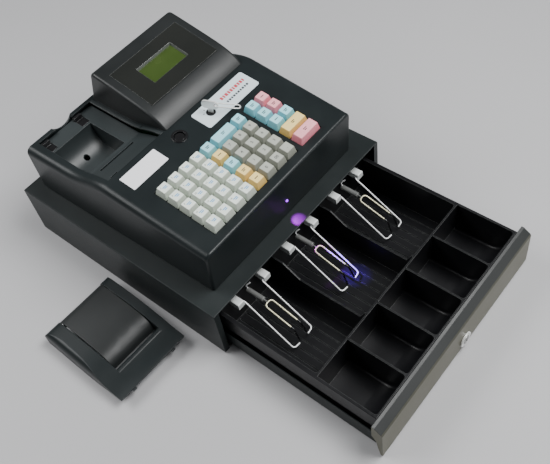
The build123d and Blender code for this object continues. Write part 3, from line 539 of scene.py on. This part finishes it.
# x counts from the middle of the clip, y and z are those of the rest pose
clipWires = {
    "bail": {"radius": 1.0, "bend": 4.5, "finish": "brightWire", "slot": "chrome",
             "path": ((28.8, -172.0, 57.0), (17.6, -172.0, 57.0), (18.0, -246.5, 15.0), (8.0, -247.5, 15.4))},
    "foot": {"radius": 1.3, "bend": 2.4, "finish": "smallBlack", "slot": "spring_grey",
             "path": ((6.0, -235.2, 38.5), (6.0, -240.5, 36.0), (7.2, -247.0, 19.4))},
    "hairpin": {"radius": 0.95, "bend": 5.4, "finish": "warmWire", "slot": "chrome",
                "path": ((-6.0, -236.5, 38.0), (-6.0, -196.0, 50.5), (6.0, -196.0, 50.5), (6.0, -236.5, 38.0))},
    "tail": {"radius": 0.9, "bend": 2.4, "finish": "brightWire", "slot": "chrome",
             "path": ((0.0, -165.5, 51.5), (0.0, -162.0, 58.0), (5.0, -165.5, 61.0))},
}
sleeveLook = {"radius": 3.5, "ends": (-190.0, -163.0), "z": 50.5, "coils": 13, "groove": 0.12, "margin": 1.5,
              "bevel": 0.9, "core": (1.0, 6.5)}


def makeWire(name, side, kind, turn=1):
    # a round wire through the points of its path with rounded bends, mirrored where turn is -1
    look = clipWires[kind]
    line = bpy.data.curves.new(name, "CURVE")
    line.dimensions = "3D"
    line.bevel_depth = look["radius"] * mm
    line.bevel_resolution = 5
    line.use_fill_caps = True
    spline = line.splines.new("POLY")
    ends = [Vector((clipCentres[side] + turn * x, y, z)) for x, y, z in look["path"]]
    path = [ends[0]]
    for a, b, c in zip(ends, ends[1:], ends[2:]):
        reach = min(look["bend"], (a - b).length * 0.45, (c - b).length * 0.45)
        first = b + (a - b).normalized() * reach
        last = b + (c - b).normalized() * reach
        for i in range(9):
            t = i / 8
            path.append(first * (1 - t) ** 2 + b * 2 * t * (1 - t) + last * t * t)
    path.append(ends[-1])
    spline.points.add(len(path) - 1)
    for point, p in zip(spline.points, path):
        point.co = (*(p * mm), 1)
    carrier = bpy.data.objects.new(name, line)
    mesh = bpy.data.meshes.new_from_object(carrier)
    bm = bmesh.new()
    bm.from_mesh(mesh)
    bmesh.ops.remove_doubles(bm, verts=bm.verts, dist=1e-6)
    bpy.data.objects.remove(carrier)
    bpy.data.curves.remove(line)
    return finishPiece(bm, name, "clip_" + side, [made[look["finish"]]], angle=60)


def makeSleeve(side):
    # a lathe shape with a ridge for each coil of the spring and a thin core in front
    x, z = clipCentres[side], sleeveLook["z"]
    (start, end), radius = sleeveLook["ends"], sleeveLook["radius"]
    bevel, margin = sleeveLook["bevel"], sleeveLook["margin"]
    core, lead = sleeveLook["core"]
    outline = [(0.0, start - lead), (core, start - lead), (core, start), (radius - bevel, start),
               (radius, start + bevel)]
    step = (end - start - margin * 2) / sleeveLook["coils"]
    for n in range(sleeveLook["coils"]):
        at = start + margin + n * step
        outline += [(radius, at), (radius - sleeveLook["groove"], at + step * 0.5)]
    outline += [(radius, end - margin), (radius, end - bevel), (radius - bevel, end), (0.0, end)]
    bm = bmesh.new()
    verts = [bm.verts.new(Vector((x + r, at, z)) * mm) for r, at in outline]
    rim = [bm.edges.new(pair) for pair in zip(verts, verts[1:])]
    bmesh.ops.spin(bm, geom=verts + rim, cent=Vector((x, 0, z)) * mm, axis=(0, 1, 0), angle=math.tau, steps=28,
                   use_merge=True)
    bmesh.ops.remove_doubles(bm, verts=bm.verts, dist=1e-6)
    bmesh.ops.recalc_face_normals(bm, faces=bm.faces)
    finishPiece(bm, "sleeve_" + side, "clip_" + side, [made["sleeveGrey"]], ["bill_spring_" + side])


def makeClip(side):
    for turn, tail in ((-1, "Left"), (1, "Right")):
        makeWire("bail_" + side + tail, side, "bail", turn)
        makeWire("foot_" + side + tail, side, "foot", turn)
    makeWire("hairpin_" + side, side, "hairpin")
    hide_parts("bill_bail_" + side)
    makeSleeve(side)
    makeWire("tail_" + side, side, "tail")


for side in clipCentres:
    makeClip(side)
print("bill clips made")


# details of the register

plateLook = {"at": (56.8, -17.8), "lock": (29.3, -17.3), "top": 0.8, "thick": 0.08,
             "tick": (8.2, 10.4, 0.9), "ticks": (150, 110, 70, 30, -10), "end": 40, "gap": 1.5,
             "rows": ({"x": -4.0, "y": 4.6, "tall": 5.0, "ink": 1, "widths": (3.4, 2.4, 4.0, 2.8)},
                      {"x": -2.0, "y": -4.8, "tall": 3.0, "ink": 0, "widths": (2.4, 3.0)})}


def makePlateMarks():
    # plain ticks round the lock and two rows of dashes, in place of any lettering
    bm = bmesh.new()
    near, far, wide = plateLook["tick"]
    for angle in plateLook["ticks"]:
        turn = Matrix.Rotation(math.radians(angle), 4, "Z")
        place = onDeck(*plateLook["lock"]) @ turn @ shift((near + far) / 2, 0, plateLook["top"])
        addBar(bm, (far - near, wide, plateLook["thick"]), place, 0)
    for look in plateLook["rows"]:
        x, count = look["x"], 0
        while x < plateLook["end"]:
            wide = look["widths"][count % len(look["widths"])]
            place = onDeck(*plateLook["at"]) @ shift(x + wide / 2, look["y"], plateLook["top"])
            addBar(bm, (wide, look["tall"], plateLook["thick"]), place, look["ink"])
            x += wide + plateLook["gap"]
            count += 1
    finishPiece(bm, "plateMarks", "cabinet", [inkDark, inkRed], smooth=False)


def addPrism(bm, outline, along, place, index):
    # a flat outline pushed along a vector, both in millimetres
    before = set(bm.faces)
    corners = [bm.verts.new(Vector(p) * mm) for p in outline]
    face = bm.faces.new(corners)
    grown = bmesh.ops.extrude_face_region(bm, geom=[face])
    moved = [g for g in grown["geom"] if isinstance(g, bmesh.types.BMVert)]
    bmesh.ops.translate(bm, vec=Vector(along) * mm, verts=moved)
    bmesh.ops.transform(bm, matrix=place, verts=corners + moved)
    fresh = [f for f in bm.faces if f not in before]
    bmesh.ops.recalc_face_normals(bm, faces=fresh)
    setMaterial(bm, before, index)


displayLook = {"centre": (46.0, 73.3, 197.2), "slope": 11.6, "window": (63.0, 33.0), "offset": (-1.0, 2.0),
               "top": 0.1, "glass": -3.35, "lip": 1.2}


def makeBezel():
    # pale bevels at the back and right of the display window
    bm = bmesh.new()
    place = shift(*displayLook["centre"]) @ tilt(displayLook["slope"])
    x, y = displayLook["offset"]
    wide, deep = displayLook["window"]
    up, down, lip = displayLook["top"], displayLook["glass"], displayLook["lip"]
    left, right, front, back = x - wide / 2, x + wide / 2, y - deep / 2, y + deep / 2
    addPrism(bm, [(left, back, up), (left, back, down), (left, back - lip, down)], (wide - lip * 0.5, 0, 0), place, 0)
    addPrism(bm, [(right, front, up), (right, front, down), (right - lip, front, down)], (0, deep - lip * 0.5, 0),
             place, 0)
    finishPiece(bm, "windowBevel", "cabinet", [made["bezelGrey"]], smooth=False)


slotLook = {"across": (-110.0, -56.5), "bar": (48.9, 49.5), "middle": 149.95, "tall": 0.9, "round": 0.12}


def makeTearBar():
    # thin steel bar along the back of the paper slot
    bm = bmesh.new()
    low, high = slotLook["across"]
    front, back = slotLook["bar"]
    place = shift((low + high) / 2, (front + back) / 2, slotLook["middle"])
    addBar(bm, (high - low, back - front, slotLook["tall"]), place, 0, slotLook["round"])
    finishPiece(bm, "tearBar", "cabinet", [made["brightWire"]])


stripLook = {"across": (-36.2, -31.4), "lift": 0.35, "sunk": 0.6, "round": 0.25,
             "line": ((148, 156.0), (133, 156.0), (100, 156.0), (80, 156.0), (64, 157.2), (50, 160.2), (38.5, 164.3),
                      (28, 167.5), (18, 170.0), (9, 171.4))}


def surfaceUnder(y):
    # height of the case under the strip, in metres
    line = sorted(stripLook["line"])
    for (y0, z0), (y1, z1) in zip(line, line[1:]):
        if y0 * mm - 1e-7 <= y <= y1 * mm + 1e-7:
            return (z0 + (z1 - z0) * (y / mm - y0) / (y1 - y0)) * mm
    return math.inf


def makeStrip():
    # narrow raised strip that follows the case between the printer bay and the hood
    bm = bmesh.new()
    low, high = stripLook["across"]
    top = [(low, y, z + stripLook["lift"]) for y, z in stripLook["line"]]
    under = [(low, y, z - stripLook["sunk"]) for y, z in reversed(stripLook["line"])]
    addPrism(bm, top + under, (high - low, 0, 0), Matrix(), 0)
    sides = [f for f in bm.faces if len(f.verts) > 4]
    edges = [e for f in sides for e in f.edges if min(v.co.z - surfaceUnder(v.co.y) for v in e.verts) > 0]
    soften(bm, edges, stripLook["round"], 2)
    finishPiece(bm, "bayStrip", "cabinet", [made["bayPlastic"]])


rearLook = {"case": 155.0, "ribs": (-96, 8, 13), "rib": (3.0, 0.6, 20.0), "ribZ": 108.0, "ribRound": 0.25,
            "screws": ((-112, 98), (108, 98), (-112, 132), (112, 132)), "head": (2.56, 3.2, 0.9), "headOut": 0.2,
            "cross": (3.0, 0.1, 0.6), "crossOut": 0.62}


def makeRear():
    # upright ribs and four screw heads on the back of the case
    bm = bmesh.new()
    first, step, count = rearLook["ribs"]
    for n in range(count):
        place = shift(first + n * step, rearLook["case"], rearLook["ribZ"])
        addBar(bm, rearLook["rib"], place, 0, rearLook["ribRound"])
    finishPiece(bm, "rearRibs", "cabinet", [made["casePlastic"]])
    bm = bmesh.new()
    for x, z in rearLook["screws"]:
        before = set(bm.faces)
        inner, outer, tall = (size * mm for size in rearLook["head"])
        cone = bmesh.ops.create_cone(bm, cap_ends=True, segments=32, radius1=inner, radius2=outer, depth=tall)
        place = shift(x, rearLook["case"] + rearLook["headOut"], z) @ tilt(90)
        bmesh.ops.transform(bm, matrix=place, verts=cone["verts"])
        setMaterial(bm, before, 0)
        for turn in (0, math.pi / 2):
            groove = shift(x, rearLook["case"] + rearLook["crossOut"], z) @ Matrix.Rotation(turn, 4, "Y")
            addBar(bm, rearLook["cross"], groove, 1)
    finishPiece(bm, "rearScrews", "cabinet", [made["zincSteel"], made["smallBlack"]])


makePlateMarks()
makeBezel()
makeTearBar()
makeStrip()
makeRear()
print("details made")


# floor, lights and camera

floorLook = {"half": 6, "z": -0.0002, "cloud": 3.0, "first": (0.46, 0.46, 0.47), "second": (0.49, 0.49, 0.50),
             "rough": 0.55}


def makeFloor():
    bm = bmesh.new()
    grid = bmesh.ops.create_grid(bm, x_segments=1, y_segments=1, size=floorLook["half"])
    bmesh.ops.translate(bm, vec=(0, 0, floorLook["z"]), verts=grid["verts"])
    mesh = bpy.data.meshes.new("floor")
    bm.to_mesh(mesh)
    bm.free()
    mat, tree, shader, place = startMaterial("paleFloor")
    cloud = addNoise(tree, place, floorLook["cloud"])
    tree.links.new(addMix(tree, cloud, floorLook["first"], floorLook["second"]), shader.inputs["Base Color"])
    shader.inputs["Roughness"].default_value = floorLook["rough"]
    mesh.materials.append(mat)
    addObject("floor", mesh)


lampSetup = {
    "key": {"at": (0.55, -0.85, 1.7), "to": (0, -0.1, 0.1), "size": (1.1, 0.9), "power": 46},
    "back": {"at": (-0.7, 0.95, 1.4), "to": (0, -0.1, 0.1), "size": (1.2, 0.8), "power": 22},
    "front": {"at": (0.9, -1.7, 0.55), "to": (0.05, -0.4, 0.05), "size": (0.8, 0.5), "power": 3},
}

# the violet light that the little lamp throws on the cabinet and into the drawer
beamSetup = {
    "violetBeam": {"at": (0.003, -0.1575, 0.112), "to": (0.004, -0.1672, 0.0845), "colour": (0.6, 0.0, 1.0),
                   "power": 0.8, "spread": 42, "blend": 0.9},
    "violetReach": {"at": (0.003, -0.1775, 0.108), "to": (0.016, -0.242, 0.008), "colour": (0.16, 0.03, 1.0),
                    "power": 5.0, "spread": 19, "blend": 1.0},
}

worldLook = {"colour": (0.8, 0.82, 0.84), "strength": 0.2}


def aim(obj, target):
    # turns a light so that it shines at a point
    direction = Vector(target) - obj.location
    obj.rotation_euler = direction.to_track_quat("-Z", "Y").to_euler()


def makeLights():
    for name, look in lampSetup.items():
        light = bpy.data.lights.new(name, "AREA")
        light.shape = "RECTANGLE"
        light.size, light.size_y = look["size"]
        light.energy = look["power"]
        lamp = addObject(name, light)
        lamp.location = look["at"]
        aim(lamp, look["to"])
    for name, look in beamSetup.items():
        beam = bpy.data.lights.new(name, "SPOT")
        beam.color = look["colour"]
        beam.energy = look["power"]
        beam.spot_size = math.radians(look["spread"])
        beam.spot_blend = look["blend"]
        beam.shadow_soft_size = 0.001
        lamp = addObject(name, beam)
        lamp.location = look["at"]
        aim(lamp, look["to"])
    world = bpy.data.worlds.new("studio")
    world.use_nodes = True
    background = world.node_tree.nodes["Background"]
    background.inputs["Color"].default_value = (*worldLook["colour"], 1)
    background.inputs["Strength"].default_value = worldLook["strength"]
    bpy.context.scene.world = world


cameraLook = {"lens": 50.92, "sensor": 36, "at": (-0.422356, -0.590558, 0.845458), "turn": (37.12, 6.72, -50.97)}


def makeCamera():
    camera = bpy.data.cameras.new("camera")
    camera.lens = cameraLook["lens"]
    camera.sensor_width = cameraLook["sensor"]
    obj = addObject("camera", camera)
    obj.location = cameraLook["at"]
    obj.rotation_euler = [math.radians(a) for a in cameraLook["turn"]]
    bpy.context.scene.camera = obj


makeFloor()
makeLights()
makeCamera()
print("stage ready")
